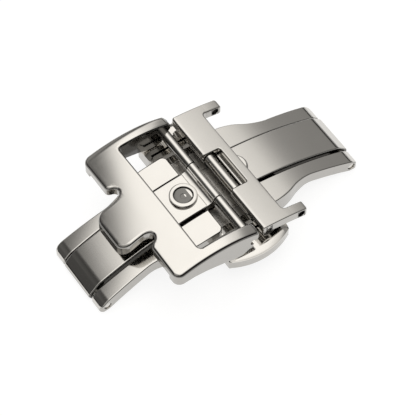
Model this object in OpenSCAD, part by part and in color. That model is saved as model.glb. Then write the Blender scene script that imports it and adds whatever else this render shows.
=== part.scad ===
// Double-wing deployment clasp for an 18 mm leather watch strap, closed.
// Millimetres. X runs along the clasp, Y across it, Z up, away from the wrist.
// The origin is under the middle of the base frame, level with its two ends.

/* [Base frame] */
// Length over the ends of the two wings
base_len = 40.4; // [38:0.2:43]
// Radius of the rails' top face
rail_r = 46.8; // [40:0.2:60]
// Thickness of a rail
rail_t = 1.8; // [1.6:0.05:2.2]
// Width over the rails at the ends
end_w = 11.1; // [10.6:0.1:12]
// Width over the rails at the waist
waist_w = 10.5; // [10:0.1:11]
// Width over the rails round the middle
mid_w = 13.8; // [13.4:0.1:14.2]
// Half length of the wide middle
mid_half = 5.6; // [5:0.1:6]
// Distance of the waist from the middle
waist_x = 12.6; // [11:0.1:14]
// Slope of the edge between the two, in degrees
waist_slope = 24; // [18:0.5:25]
// Radius of the rails' corners, in plan
corner_r = 0.6; // [0.3:0.05:0.8]
// Thickness of the middle block
block_t = 3.3; // [3.15:0.05:3.6]
// Half length of the block's floor between the rails
block_half = 8.5; // [7:0.1:10]
// How far the wings' knuckles stand past the rails
knuckle_stand = 0.15; // [0.1:0.05:0.4]
// Distance of the end pins from the rails' ends
pin_in = 1.05; // [0.95:0.05:1.2]
// Height of the upright faces at the ends, below their slopes
end_face = 0.9; // [0.8:0.05:1.1]

/* [Wings] */
// Width of a wing's blade
blade_w = 6.1; // [5.8:0.05:6.4]
// Thickness of a blade
blade_t = 1.2; // [1.05:0.05:1.25]
// How far a blade stands above the rails
blade_raise = 0.4; // [0.3:0.05:0.5]
// Height of the upright face at a wing's outer end
wing_face = 0.94; // [0.85:0.01:1.1]
// Clearance between a blade and the rails, on each side
blade_gap = 0.13; // [0.06:0.01:0.2]

/* [Pins and rods] */
// Diameter of the end pins
end_pin_d = 1.0; // [0.8:0.02:1.04]
// Diameter of the two hinge rods
rod_d = 0.84; // [0.7:0.02:0.9]
// Diameter of the hinge barrels on the rods
barrel_d = 1.4; // [1.3:0.02:1.5]
// Height of the cover's rod above the rails' crown
cover_rod_h = 0.7; // [0.7:0.05:0.85]
// Height of the lug plate's rod above the rails' crown
lug_rod_h = 0.35; // [0.3:0.05:0.45]
// Radial clearance where a rod or pin turns
run_gap = 0.03; // [0.02:0.01:0.08]
// Radial clearance where a rod or pin is held
hold_gap = 0.01; // [0.01:0.005:0.02]
// Gap between two hinge knuckles
knuckle_gap = 0.07; // [0.04:0.01:0.12]

/* [Lug plate] */
// Strap width, which is the gap between the ears
strap_w = 18; // [17:0.5:19]
// Width of an ear
ear_w = 1.4; // [1.2:0.05:1.5]
// Thickness of the plate's sides
lug_t = 1.45; // [1.3:0.05:1.5]
// Distance of the plate's left edge from its rod
lug_edge = 0.9; // [0.85:0.01:0.95]
// Distance of the plate's right edge from its rod
lug_len = 3.05; // [2.8:0.05:3.4]
// Distance of the spring-bar holes from the rod
bar_x = 5.05; // [4.9:0.05:5.4]
// Distance of the ears' tips from those holes
ear_tip = 1.0; // [0.9:0.05:1.2]
// Diameter of the spring-bar holes
bar_d = 1.0; // [0.8:0.02:1.1]
// Radius of the plate's top face
lug_r = 38; // [34:1:60]
// Slope of the top face over the rod, in degrees
lug_slope = 5; // [4.5:0.1:5.5]
// Height of the top face above the rod
lug_top = 1.02; // [0.98:0.01:1.06]
// Radius of the rest boss below the right edge
rest_boss_r = 1.76; // [1.5:0.02:2]
// Distance of the boss's middle from the rod
rest_boss_x = 1.89; // [1.7:0.01:2]
// Height of the boss's top above the rails' crown
rest_boss_h = 0.83; // [0.7:0.01:0.9]

/* [Cover frame] */
// Width over the cover's sides
cover_w = 21.9; // [21.4:0.02:22.2]
// Width of a side rail
cover_rail_w = 1.72; // [1.6:0.02:1.74]
// Radius of the cover's crown
cover_r = 20; // [19:0.5:24]
// Place of the crown along the clasp
crown_x = -5.5; // [-6:0.1:-5]
// Height of the crown
crown_z = 9.3; // [9.2:0.05:9.6]
// Drop of the outer edges below the crown
edge_drop = 0.25; // [0.15:0.05:0.5]
// Width of that slope
edge_slope_w = 0.7; // [0.5:0.05:1.3]
// Thickness of the bar over the strap
bar_t = 1.3; // [1.1:0.05:1.4]
// Place of the shoulders' outer edge
shoulder_x = -12.1; // [-12.4:0.1:-11.6]
// Place of the tongue's end
tongue_x = -15.2; // [-15.6:0.1:-14.4]
// Width of the tongue
tongue_w = 6.4; // [5.6:0.1:7.2]
// Place of the window's edge
window_x = -7.6; // [-8:0.1:-7.2]
// Radius of the cove between tongue and shoulder
cove_r = 0.9; // [0.6:0.05:1.1]
// Reach of the side rails past the cover's rod
cover_end = 1.1; // [1:0.05:1.2]

/* [Stud] */
// Diameter of the strap stud
stud_d = 3.7; // [3.3:0.1:3.8]
// Height of the stud above the blade
stud_h = 0.4; // [0.25:0.05:0.6]
// Place of the stud along the clasp
stud_x = -3.85; // [-4.2:0.05:-3.8]

/* [Buttons] */
// Place of the latch and the buttons along the clasp
mech_x = 0.65; // [0.6:0.01:0.7]
// Length of a button's pad
pad_len = 9.2; // [8.4:0.1:9.6]
// Distance of a pad's inner face from the middle
pad_in = 7.45; // [7.4:0.05:7.5]
// Distance of a pad's crest from the middle
pad_out = 11.75; // [11.4:0.05:12.2]
// Radius of a pad's outer face
pad_r = 9; // [8:0.5:12]
// Height of a pad
pad_h = 2.0; // [1.8:0.05:2.05]
// Depth of a pad's axis below the rails' crown
pad_drop = 2.12; // [2.1:0.01:2.14]
// Diameter of a button's stem
stem_d = 0.8; // [0.7:0.02:0.84]
// Travel of a button
button_travel = 0.5; // [0.3:0.05:0.5]

/* [Latch] */
// Width of the channel across the base
channel_w = 5.8; // [5.7:0.05:5.9]
// Depth of the channel below the rails' crown
channel_depth = 1.15; // [1.1:0.01:1.2]
// Thickness of the latch cover
latch_cover_t = 0.35; // [0.3:0.01:0.4]
// Thickness of a latch
latch_t = 0.9; // [0.85:0.01:0.95]
// Working clearance above and below a latch
latch_gap = 0.08; // [0.05:0.01:0.1]
// Length of the catch posts along the clasp
post_len = 0.8; // [0.6:0.05:0.9]
// Distance of the catch posts from the latch's middle line
post_x = 2.05; // [2:0.01:2.1]
// Outer face of the catch posts
post_y = 2.75; // [2.6:0.05:2.9]
// Thickness of a catch post
post_w = 0.6; // [0.5:0.05:0.7]
// Reach of a catch's lip
lip_w = 0.35; // [0.25:0.01:0.4]
// Gap between a lip and its latch bar
lip_gap = 0.05; // [0.04:0.01:0.08]

/* [Springs and screws] */
// Wire of the button springs
spring_wire = 0.18; // [0.14:0.01:0.2]
// Outside diameter of the button springs
spring_d = 1.3; // [1.2:0.02:1.34]
// Turns of a button spring
spring_turns = 3.5; // [3:0.5:4]
// Diameter of the latch cover's screw heads
screw_head_d = 0.76; // [0.7:0.02:0.84]
// Diameter of the screws
screw_d = 0.4; // [0.34:0.02:0.46]
// Length of the screws under the cover
screw_len = 0.9; // [0.7:0.05:1]

/* [Hidden] */
$fn = 64;
arc_fn = 240;      // facets of the preview on the large arcs
far = 60;          // longer than anything in the clasp
eps = 0.01;

// Arch of the base
rail_end = base_len / 2 - knuckle_stand;
pin_x = rail_end - pin_in;
pin_z = rail_t / 2;
rail_in_r = rail_r - rail_t;
rail_mid_r = rail_r - rail_t / 2;
arch_z = pin_z - sqrt(pow(rail_mid_r, 2) - pow(pin_x, 2));
crown = arch_z + rail_r;
blade_r = rail_r + blade_raise;
blade_in_r = blade_r - blade_t;
slot_half = blade_w / 2 + blade_gap;
stud_seat = arc_z(blade_r, stud_x) - 0.14;
blade_under = 0.1;                      // clearance below a blade, over the block
end_pin_half = end_w / 2 - corner_r / 2;

// Hinge rods
cover_rod = [mech_x - 1.25, crown + cover_rod_h];
lug_rod_at = [mech_x + 1.5, crown + lug_rod_h];

// Latch, from the channel's floor down
channel_z = crown - channel_depth;
axis_z = crown - pad_drop;
latch_z0 = axis_z - latch_t / 2;
latch_z1 = axis_z + latch_t / 2;
pocket_z = latch_z0 - latch_gap;
pocket_half = channel_w / 2 - 0.05;
pocket_y = 5.2;
latch_cover_y = 5.85;
post_z = latch_z0;
lip_h = 0.4;
bridge_t = 0.5;
bridge_z = channel_z + 0.08;
web_z = bridge_z + bridge_t;
lip_y = post_y - post_w - lip_w;
bar_y1 = lip_y - lip_gap;
bar_w = 0.65;

// Cover and lug plate
cover_half = cover_w / 2;
cover_in = cover_half - cover_rail_w;
cover_cz = crown_z - cover_r;
shoulder_half = tongue_w / 2;
ear_in = strap_w / 2;
lug_half = ear_in + ear_w;
lug_cx = lug_rod_at[0] - lug_r * sin(lug_slope);
lug_cz = lug_rod_at[1] + lug_top - lug_r * cos(lug_slope);
lug_right = lug_rod_at[0] + lug_len;
bar_at_x = lug_rod_at[0] + bar_x;
ear_end = bar_at_x + ear_tip;
bar_at_z = lug_cz + sqrt(pow(lug_r - lug_t / 2, 2) - pow(bar_at_x - lug_cx, 2));
notch_half = blade_w / 2 + knuckle_gap;
counterbore_y = mid_w / 2 - 0.95;

function arc_z(r, x) = arch_z + sqrt(r * r - x * x);
function lug_arc_z(r, x) = lug_cz + sqrt(r * r - pow(x - lug_cx, 2));
function cover_arc_z(r, x) = cover_cz + sqrt(r * r - pow(x - crown_x, 2));

// Extrudes an X-Z profile across the clasp, centred on Y = 0
module across(w) rotate([90, 0, 0]) linear_extrude(height = w, center = true) children();

// A round bar along Y at a place in X-Z, from y0 to y1
module along_y(at, d, y0, y1)
    translate([at[0], y1, at[1]]) rotate([90, 0, 0]) cylinder(d = d, h = y1 - y0);

// A tall prism on an X-Y plan
module upright() linear_extrude(height = far, center = true) children();

// A box between two corners
module block(a, b) translate(a) cube(b - a);

// A ring in X-Z about the arch's centre
module arch_ring(r1, r0) translate([0, arch_z]) difference() {
    circle(r = r1, $fn = arc_fn);
    circle(r = r0, $fn = arc_fn);
}

// Both of a pair, on the +Y and -Y sides
module both_sides() {
    children();
    mirror([0, 1, 0]) children();
}

// Side view of all that lies under the slopes at both ends, for an end face of height h at x
module under_slopes(x, h) polygon([[-x, 0], [-x, h], [-x / 2, h + x / 2], [x / 2, h + x / 2], [x, h], [x, 0]]);

// The base from the side: an arched rail, sloped off at its ends, and the deeper middle
module base_side() {
    w = 2 * mid_w;
    intersection() {
        across(w) arch_ring(rail_r, rail_in_r);
        across(w + 1) under_slopes(rail_end, end_face);
    }
    block_reach = sqrt(pow(rail_in_r, 2) - pow(crown - block_t - arch_z, 2));
    intersection() {
        across(w) translate([0, arch_z]) circle(r = rail_mid_r, $fn = arc_fn);
        block([-block_reach, -w, crown - block_t], [block_reach, w, far]);
    }
}

// One quarter of the base's plan: wide middle, an S-shaped edge in short straights, the waist, then the end
module base_quarter() {
    w1 = mid_w / 2;
    w2 = waist_w / 2;
    run = (w1 - w2) / tan(waist_slope);
    r = (waist_x - mid_half - run) / 2 / tan(waist_slope / 2);
    steps = 6;
    turn = [for (i = [0:steps]) let (a = waist_slope * i / steps) r * [sin(a), cos(a) - 1]];
    difference() {
        upright() polygon(concat([[-1, -1], [-1, w1]],
            [for (i = [0:steps]) [mid_half, w1] + turn[i]],
            [for (i = [steps:-1:0]) [waist_x, w2] - turn[i]],
            [[rail_end, end_w / 2], [rail_end, -1]]));
        translate([rail_end - corner_r, end_w / 2 - corner_r, -far]) difference() {
            cube([2 * corner_r, 2 * corner_r, 2 * far]);
            cylinder(r = corner_r, h = 2 * far);
        }
    }
}

module base_plan() for (sx = [0, 1], sy = [0, 1]) mirror([sx, 0, 0]) mirror([0, sy, 0]) base_quarter();

// The channel across the base, with its mouths rounded off at the sides
module channel_plan() {
    mouth_r = 0.8;
    h = channel_w / 2;
    translate([mech_x, 0]) {
        square([channel_w, 2 * mid_w], center = true);
        for (sx = [-1, 1], sy = [-1, 1]) translate([sx * h, sy * mid_w / 2]) difference() {
            square(2 * mouth_r, center = true);
            translate([sx * mouth_r, -sy * mouth_r]) circle(r = mouth_r);
        }
    }
}

module base_frame() color("silver") difference() {
    intersection() {
        base_side();
        base_plan();
    }
    // Slots that the wings' blades lie in, open right through outside the block
    for (s = [-1, 1]) block([min(s * block_half, s * far), -slot_half, -far],
        [max(s * block_half, s * far), slot_half, far]);
    across(2 * slot_half) translate([0, arch_z]) difference() {
        translate([-block_half - eps, 0]) square([2 * block_half + 2 * eps, far]);
        circle(r = blade_in_r - blade_under, $fn = arc_fn);
    }
    translate([0, 0, channel_z]) linear_extrude(height = far) channel_plan();
    // Pocket for the two latches, and the ledges that their cover lies on
    block([mech_x - pocket_half, -pocket_y, pocket_z], [mech_x + pocket_half, pocket_y, far]);
    block([mech_x - channel_w / 2, -latch_cover_y - 0.03, channel_z - latch_cover_t],
        [mech_x + channel_w / 2, latch_cover_y + 0.03, far]);
    latch_screw_places() translate([0, 0, channel_z - latch_cover_t - screw_len])
        cylinder(d = screw_d + 2 * hold_gap, h = screw_len + eps);
    both_sides() {
        along_y([mech_x, axis_z], stem_d + 2 * run_gap, pocket_y - eps, mid_w);
        along_y([mech_x, axis_z], spring_d + 0.1, counterbore_y, mid_w);
    }
    for (s = [-1, 1]) along_y([s * pin_x, pin_z], end_pin_d + 2 * hold_gap, -mid_w, mid_w);
}

module end_pin(s) along_y([s * pin_x, pin_z], end_pin_d, -end_pin_half, end_pin_half);
module left_end_pin() color("lightgray") end_pin(-1);
module right_end_pin() color("lightgray") end_pin(1);

module latch_screw_places()
    for (sx = [-1, 1], sy = [-1, 1]) translate([mech_x + sx * 1.75, sy * (pocket_y + 0.32), 0]) children();

// Thin plate over the latches, notched where the catch posts drop in
module latch_cover() color("gray") difference() {
    z0 = channel_z - latch_cover_t;
    block([mech_x - channel_w / 2 + 0.03, -latch_cover_y, z0],
        [mech_x + channel_w / 2 - 0.03, latch_cover_y, channel_z]);
    for (sx = [-1, 1], sy = [-1, 1]) {
        x_in = mech_x + sx * (post_x - post_len / 2 - 0.15);
        x_out = mech_x + sx * channel_w;
        y_in = sy * (lip_y - 0.15);
        y_out = sy * (post_y + 0.15);
        block([min(x_in, x_out), min(y_in, y_out), z0 - 1], [max(x_in, x_out), max(y_in, y_out), far]);
    }
    latch_screw_places() translate([0, 0, z0 - 1]) cylinder(d = screw_d + 0.06, h = 3);
}

module latch_cover_screws() color("darkgray") latch_screw_places() difference() {
    union() {
        translate([0, 0, channel_z]) cylinder(d = screw_head_d, h = 0.16);
        translate([0, 0, channel_z - latch_cover_t - screw_len + 0.03])
            cylinder(d = screw_d, h = screw_len + latch_cover_t);
    }
    translate([0, 0, channel_z + 0.16]) cube([1, 0.12, 0.16], center = true);
}

// A blade from x_in out to its end knuckle, for the +X wing
module blade_side(x_in) {
    across(blade_w) intersection() {
        arch_ring(blade_r, blade_in_r);
        under_slopes(base_len / 2, wing_face);
        translate([x_in, 0]) square([far, far]);
    }
    intersection() {
        along_y([pin_x, pin_z], base_len - 2 * pin_x, -blade_w / 2, blade_w / 2);
        across(blade_w + 1) under_slopes(base_len / 2, wing_face);
    }
}

module catch_holes(x) for (sy = [-1, 1])
    translate([x, sy * 1.2, web_z - eps]) cylinder(d = 0.6 + 2 * hold_gap, h = 0.45);

module left_wing() color("silver") difference() {
    end_x = -2.05;
    barrel_r = barrel_d / 2;
    top_z = arc_z(blade_r, end_x);
    bottom_z = arc_z(blade_in_r, end_x - 0.3);
    union() {
        mirror([1, 0, 0]) blade_side(-end_x);
        along_y(cover_rod, barrel_d, -blade_w / 2, blade_w / 2);
        // Web that climbs from the blade to the barrel
        across(blade_w) polygon([[end_x - 0.3, bottom_z], [end_x + 0.15, web_z], [cover_rod[0], web_z],
            [cover_rod[0] + 0.45, cover_rod[1] - barrel_r + 0.15], cover_rod,
            [cover_rod[0] - barrel_r + 0.03, cover_rod[1] + 0.15],
            [cover_rod[0] - barrel_r - 0.12, cover_rod[1] - 0.08],
            [end_x + 0.3, top_z + 0.06], [end_x, top_z], [end_x - 0.3, top_z - 0.1]]);
    }
    along_y([-pin_x, pin_z], end_pin_d + 2 * run_gap, -mid_w, mid_w);
    along_y(cover_rod, rod_d + 2 * run_gap, -mid_w, mid_w);
    catch_holes(mech_x - post_x);
    translate([stud_x, 0, 0]) cylinder(d = 2 + 2 * hold_gap, h = far);
    translate([stud_x, 0, stud_seat]) cylinder(d = stud_d + 0.08, h = far);
}

module right_wing() color("silver") difference() {
    in_x = mech_x + channel_w / 2 - 0.35;
    at = lug_rod_at;
    union() {
        blade_side(in_x);
        along_y(at, barrel_d, -blade_w / 2, blade_w / 2);
        // Web from the blade to the barrel
        across(blade_w) polygon([[in_x + 0.3, arc_z(blade_in_r, in_x + 0.3)], [in_x - 0.1, web_z], [at[0] + 0.05, web_z],
            [at[0] - 0.35, at[1] - barrel_d / 2 + 0.12], at, [at[0] + 0.45, at[1] + 0.3],
            [at[0] + 0.8, arc_z(blade_r, in_x) - 0.02], [in_x + 0.3, arc_z(blade_r, in_x + 0.3)]]);
    }
    along_y([pin_x, pin_z], end_pin_d + 2 * run_gap, -mid_w, mid_w);
    along_y(at, rod_d + 2 * run_gap, -mid_w, mid_w);
    catch_holes(mech_x + post_x);
}

// Round stud in the window, dished on top, with its shank riveted through the blade
module strap_stud() color("gainsboro") {
    top_z = arc_z(blade_r, stud_x) + stud_h;
    dish_r = 2.9;
    dish_half = stud_d / 2 - 0.3;
    difference() {
        union() {
            translate([stud_x, 0, stud_seat + 0.01]) cylinder(d = stud_d, h = top_z - stud_seat - 0.01);
            translate([stud_x, 0, arc_z(blade_in_r, stud_x) + 0.1]) cylinder(d = 2, h = blade_t);
        }
        translate([stud_x, 0, top_z + sqrt(dish_r * dish_r - dish_half * dish_half)])
            sphere(r = dish_r, $fn = 96);
        translate([stud_x, 0, top_z - 0.75]) cylinder(d = 0.8, h = 2);
    }
}

// A bar under the wing's inner end with two hooked posts that reach down between the latches
module catch(x) {
    h = post_len / 2;
    block([x - h, -post_y, bridge_z], [x + h, post_y, web_z]);
    both_sides() translate([x, 0, 0]) rotate([90, 0, 90])
        linear_extrude(height = post_len, center = true) polygon([
            [post_y, bridge_z + eps], [post_y, post_z], [lip_y + 0.2, post_z], [lip_y, post_z + 0.2],
            [lip_y, post_z + lip_h], [post_y - post_w, post_z + lip_h], [post_y - post_w, bridge_z + eps]]);
    for (sy = [-1, 1]) translate([x, sy * 1.2, web_z - eps]) cylinder(d = 0.6, h = 0.4);
}

module left_catch() color("darkgray") catch(mech_x - post_x);
module right_catch() color("darkgray") catch(mech_x + post_x);

// Plan of the cover: shoulders, a plain tongue with coves at its root, and the side rails
module cover_plan() {
    end_x = cover_rod[0] + cover_end;
    shoulder_r = 1.1;
    tongue_r = 1.5;
    difference() {
        union() {
            translate([shoulder_x, -cover_half]) square([end_x - shoulder_x, cover_w]);
            translate([tongue_x, -shoulder_half]) square([far / 8, tongue_w]);
        }
        for (sy = [-1, 1]) {
            translate([shoulder_x, sy * cover_half]) difference() {
                square(2 * shoulder_r, center = true);
                translate([shoulder_r, -sy * shoulder_r]) circle(r = shoulder_r);
            }
            translate([tongue_x, sy * shoulder_half]) difference() {
                square(2 * tongue_r, center = true);
                translate([tongue_r, -sy * tongue_r]) circle(r = tongue_r);
            }
            // The cove dips into the shoulder beside the tongue
            translate([shoulder_x + cove_r / 3, sy * (shoulder_half + cove_r)]) circle(r = cove_r);
        }
        // Window for the strap's hole and the stud
        window_r = 0.5;
        difference() {
            translate([window_x, -cover_in]) square([far, 2 * cover_in]);
            for (sy = [-1, 1]) translate([window_x, sy * cover_in]) difference() {
                square(2 * window_r, center = true);
                translate([window_r, -sy * window_r]) circle(r = window_r);
            }
        }
    }
}

// What is taken off below the side skirts: shallow at the shoulders, deep by the rod
module skirt_cut() {
    x = cover_rod[0];
    z = cover_rod[1];
    deep = axis_z + pad_h / 2 + 0.18;
    polygon([[-far, -far], [-far, 5], [shoulder_x - 0.5, 6.12], [shoulder_x + 2.6, 6.34], [shoulder_x + 4.4, 6.16],
        [shoulder_x + 5.9, 5.84], [shoulder_x + 7.4, 5.5], [x - 2.9, deep + 0.12], [x - 2.2, deep], [x - 0.6, deep],
        [x - 0.35, z - 1.2], [x + 0.05, z - 1.03], [far, z - 1.0], [far, -far]]);
}

module cover_frame() color("silver") difference() {
    union() {
        difference() {
            intersection() {
                translate([crown_x, 0, cover_cz]) rotate([90, 0, 0]) rotate_extrude($fn = arc_fn) polygon([
                    [0, -cover_half], [cover_r - edge_drop, -cover_half], [cover_r, edge_slope_w - cover_half],
                    [cover_r, cover_half - edge_slope_w], [cover_r - edge_drop, cover_half], [0, cover_half]]);
                linear_extrude(height = far) cover_plan();
            }
            // Room for the strap under the bar
            across(2 * cover_in) difference() {
                translate([-far, 0]) square([far, far / 2]);
                difference() {
                    translate([crown_x, cover_cz]) circle(r = cover_r + 1, $fn = arc_fn);
                    translate([crown_x, cover_cz]) circle(r = cover_r - bar_t, $fn = arc_fn);
                }
            }
            across(2 * cover_w) skirt_cut();
            // Round ends on the side rails, that run on smoothly from the crown
            across(2 * cover_w) difference() {
                end_r = 1;
                end_x = cover_rod[0] + cover_end - end_r;
                run = cover_r - end_r;
                end_z = cover_cz + sqrt(pow(run, 2) - pow(end_x - crown_x, 2));
                translate([end_x + end_r * (end_x - crown_x) / run, 0]) square([far, far]);
                translate([end_x, end_z]) circle(r = end_r);
            }
        }
        both_sides() along_y(cover_rod, barrel_d, notch_half, cover_in + 0.3);
    }
    along_y(cover_rod, rod_d + 2 * hold_gap, 0.6 - cover_half, far);
}

module cover_rod() color("lightgray") along_y(cover_rod, rod_d, 0.63 - cover_half, cover_half - 0.02);

// Side view of the lug plate: an arched sheet, rounded off at the ears' tips above and below
module lug_side(t) {
    x0 = lug_rod_at[0] - lug_edge;
    r = 0.45;
    at_x = ear_end - r;
    difference() {
        intersection() {
            translate([lug_cx, lug_cz]) difference() {
                circle(r = lug_r, $fn = arc_fn);
                circle(r = lug_r - t, $fn = arc_fn);
            }
            translate([x0, 0]) square([ear_end - x0, far]);
        }
        for (up = [1, -1]) {
            run = up > 0 ? lug_r - r : lug_r - t + r;
            at_z = lug_cz + sqrt(pow(run, 2) - pow(at_x - lug_cx, 2));
            difference() {
                translate([at_x + up * r * (at_x - lug_cx) / run, up > 0 ? at_z : at_z - far]) square(far);
                translate([at_x, at_z]) circle(r = r);
            }
        }
    }
}

module lug_plan() {
    at_x = lug_rod_at[0];
    root_r = 0.35;
    difference() {
        union() {
            translate([at_x - lug_edge, -lug_half]) square([lug_right - at_x + lug_edge, 2 * lug_half]);
            for (sy = [-1, 1]) translate([at_x, sy * (ear_in + lug_half) / 2 - ear_w / 2])
                square([ear_end - at_x, ear_w]);
            for (sy = [-1, 1]) translate([lug_right, sy * ear_in]) difference() {
                square(2 * root_r, center = true);
                translate([root_r, -sy * root_r]) circle(r = root_r);
            }
        }
        translate([at_x - lug_edge - 1, -notch_half]) square([2.6 + 1, 2 * notch_half]);
    }
}

module lug_plate() color("silver") difference() {
    at = lug_rod_at;
    edge_x = at[0] - lug_edge;
    union() {
        intersection() {
            across(2 * lug_half) lug_side(lug_t);
            linear_extrude(height = far) lug_plan();
        }
        // Barrels round the rod, below the plate
        both_sides() intersection() {
            along_y(at, 2.1, notch_half, lug_half);
            block([edge_x, 0, 0], [at[0] + 2, lug_half, at[1] + 0.5]);
        }
        // Rest boss over the wing's blade
        intersection() {
            translate([at[0] + rest_boss_x, 0, 0]) cylinder(r = rest_boss_r, h = crown + rest_boss_h);
            block([lug_right - 0.8, -lug_half, 0], [bar_at_x, lug_half, far]);
        }
    }
    // Room for the rails, and deeper room for the wing's blade
    rail_room_y = mid_w / 2 + 0.15;
    block([at[0] + 0.95, -rail_room_y, 0], [bar_at_x, rail_room_y, crown + 0.12]);
    across(2 * notch_half) difference() {
        translate([at[0], 0]) square([far, far]);
        difference() {
            circle_r = blade_r + 0.1;
            translate([at[0], 0]) square([far, far]);
            translate([0, arch_z]) circle(r = circle_r, $fn = arc_fn);
        }
    }
    // Chamfer along the left edge, which clears the cover's rails as the plate swings
    across(3 * lug_half) polygon([[edge_x - 1, far], [edge_x - 1, lug_arc_z(lug_r, edge_x) - 0.32 - 1],
        [edge_x + 0.32, lug_arc_z(lug_r, edge_x)], [edge_x + 0.32, far]]);
    along_y(at, rod_d + 2 * hold_gap, -far, far);
    along_y([bar_at_x, bar_at_z], bar_d, -far, far);
}

module lug_rod() color("lightgray") along_y(lug_rod_at, rod_d, 0.3 - lug_half, lug_half - 0.3);

// One button, for the +Y side: a crescent pad and the stem it slides on
module button() {
    h = pad_len / 2;
    end_r = 0.5;
    bevel_y = pad_out - 0.75;
    spigot_y = pocket_y - 0.3;
    difference() {
        translate([0, 0, axis_z - pad_h / 2]) linear_extrude(height = pad_h) difference() {
            intersection() {
                translate([mech_x, pad_out - pad_r]) circle(r = pad_r, $fn = arc_fn);
                translate([mech_x - h, pad_in]) square([pad_len, pad_out]);
            }
            for (sx = [-1, 1]) translate([mech_x + sx * h, pad_in]) difference() {
                square(2 * end_r, center = true);
                translate([-sx * end_r, end_r]) circle(r = end_r);
            }
        }
        // Slope that catches the light along the pad's outer edge
        translate([mech_x, 0, axis_z + pad_h / 2]) rotate([90, 0, 90])
            linear_extrude(height = 2 * pad_len, center = true)
            polygon([[bevel_y, 0], [bevel_y, 1], [pad_out + 1, 1], [pad_out + 1, -0.6]]);
    }
    along_y([mech_x, axis_z], stem_d, spigot_y, pad_in + 0.5);
    along_y([mech_x, axis_z], stem_d - 0.3, spigot_y - 0.62, spigot_y + 0.1);
}

// One latch, for the +Y side: its bar hooks over the lips of both catches
module latch() difference() {
    union() {
        block([mech_x - 1, pocket_y - 0.95, latch_z0], [mech_x + 1, pocket_y - 0.32, latch_z1]);
        block([mech_x - 0.7, bar_y1 - bar_w, latch_z0], [mech_x + 0.7, pocket_y - 0.9, latch_z1]);
        block([mech_x - pocket_half + 0.4, bar_y1 - bar_w, post_z + lip_h + latch_gap],
            [mech_x + pocket_half - 0.4, bar_y1, latch_z1]);
    }
    along_y([mech_x, axis_z], stem_d - 0.3 + 2 * hold_gap, pocket_y - 1, pocket_y);
}

// One return spring, wound round the stem, for the +Y side
module button_spring() {
    r = (spring_d - spring_wire) / 2;
    w = spring_wire / 2;
    y0 = counterbore_y + w + 0.01;
    y1 = pad_in - w - 0.01;
    sides = 8;
    per_turn = 16;
    rings = per_turn * spring_turns;
    points = [for (i = [0:rings]) let (a = 360 * i / per_turn, y = y0 + (y1 - y0) * i / rings)
        for (j = [0:sides - 1]) let (b = 360 * j / sides, rr = r + w * cos(b))
            [mech_x + rr * cos(a), y + w * sin(b), axis_z + rr * sin(a)]];
    skin = [for (i = [0:rings - 1], j = [0:sides - 1]) let (k = (j + 1) % sides, a = i * sides)
        [a + j, a + k, a + sides + k, a + sides + j]];
    first = [for (j = [sides - 1:-1:0]) j];
    last = [for (j = [0:sides - 1]) rings * sides + j];
    polyhedron(points = points, faces = concat(skin, [first, last]));
}

module rear_button() color("gainsboro") button();
module rear_latch() color("darkgray") latch();
module rear_spring() color("dimgray") button_spring();
module front_button() color("gainsboro") mirror([0, 1, 0]) button();
module front_latch() color("darkgray") mirror([0, 1, 0]) latch();
module front_spring() color("dimgray") mirror([0, 1, 0]) button_spring();

base_frame();
left_end_pin();
right_end_pin();
latch_cover();
latch_cover_screws();
left_wing();
strap_stud();
left_catch();
cover_frame();
cover_rod();
right_wing();
right_catch();
lug_plate();
lug_rod();
front_button();
front_latch();
front_spring();
rear_button();
rear_latch();
rear_spring();
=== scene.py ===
import math
import bmesh
import bpy
from mathutils import Matrix, Vector


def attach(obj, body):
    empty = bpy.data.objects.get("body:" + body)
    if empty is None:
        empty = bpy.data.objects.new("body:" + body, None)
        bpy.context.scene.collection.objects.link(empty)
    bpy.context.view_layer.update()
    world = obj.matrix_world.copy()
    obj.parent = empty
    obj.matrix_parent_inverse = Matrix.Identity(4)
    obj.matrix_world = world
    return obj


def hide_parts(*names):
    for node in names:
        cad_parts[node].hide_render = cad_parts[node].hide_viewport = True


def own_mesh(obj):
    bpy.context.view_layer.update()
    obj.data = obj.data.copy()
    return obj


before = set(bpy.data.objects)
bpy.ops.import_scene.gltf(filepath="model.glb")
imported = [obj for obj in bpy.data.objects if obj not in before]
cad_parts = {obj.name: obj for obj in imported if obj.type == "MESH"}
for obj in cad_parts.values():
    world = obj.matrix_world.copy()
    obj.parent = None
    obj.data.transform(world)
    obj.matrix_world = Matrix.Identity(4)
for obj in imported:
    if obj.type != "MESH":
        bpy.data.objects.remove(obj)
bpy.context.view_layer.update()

# Sizes in millimetres, on the same origin and axes as the solids
MM = 0.001
PIN_X, PIN_Z = 19.0, 0.9
PIN_R, PIN_HOLE_R, PIN_HALF = 0.5, 0.53, 5.38
PIN_ARCH_R = 45.9
ARCH_Z = PIN_Z - math.sqrt(PIN_ARCH_R ** 2 - PIN_X ** 2)
RAIL_END, RAIL_FACE, RAIL_BLEND = 20.05, 0.9, 0.2
WING_END, WING_FACE, WING_BLEND = 20.2, 0.94, 0.22
RAIL_R, RAIL_IN_R = 46.8, 45.0
BLADE_R, BLADE_IN_R = 47.2, 46.0
RUN_GAP = 0.1
CROWN = ARCH_Z + RAIL_R
MECH_X = 0.65
CHANNEL_HALF = 2.9
CHANNEL_Z = CROWN - 1.15
AXIS_Z = CROWN - 2.12
COVER_ROD = (MECH_X - 1.25, CROWN + 0.7)
LUG_ROD = (MECH_X + 1.5, CROWN + 0.35)
BARREL_R, BARREL_EDGE = 0.7, 0.06
ROD_HOLE_R = 0.45
SLOT_HALF = 3.22
BLADE_HALF = 3.0
KNUCKLE_HALF = 3.12
STUD_X = -3.85

# Limits of the modelling functions
SAME_LEVEL = 1e-5
SHARP_ANGLE = 0.6

# Height of a flat slab before its upper and lower faces are moved to the real curves
SLAB = 10


def arch(r, x):
    return ARCH_Z + math.sqrt(r * r - x * x)


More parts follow.
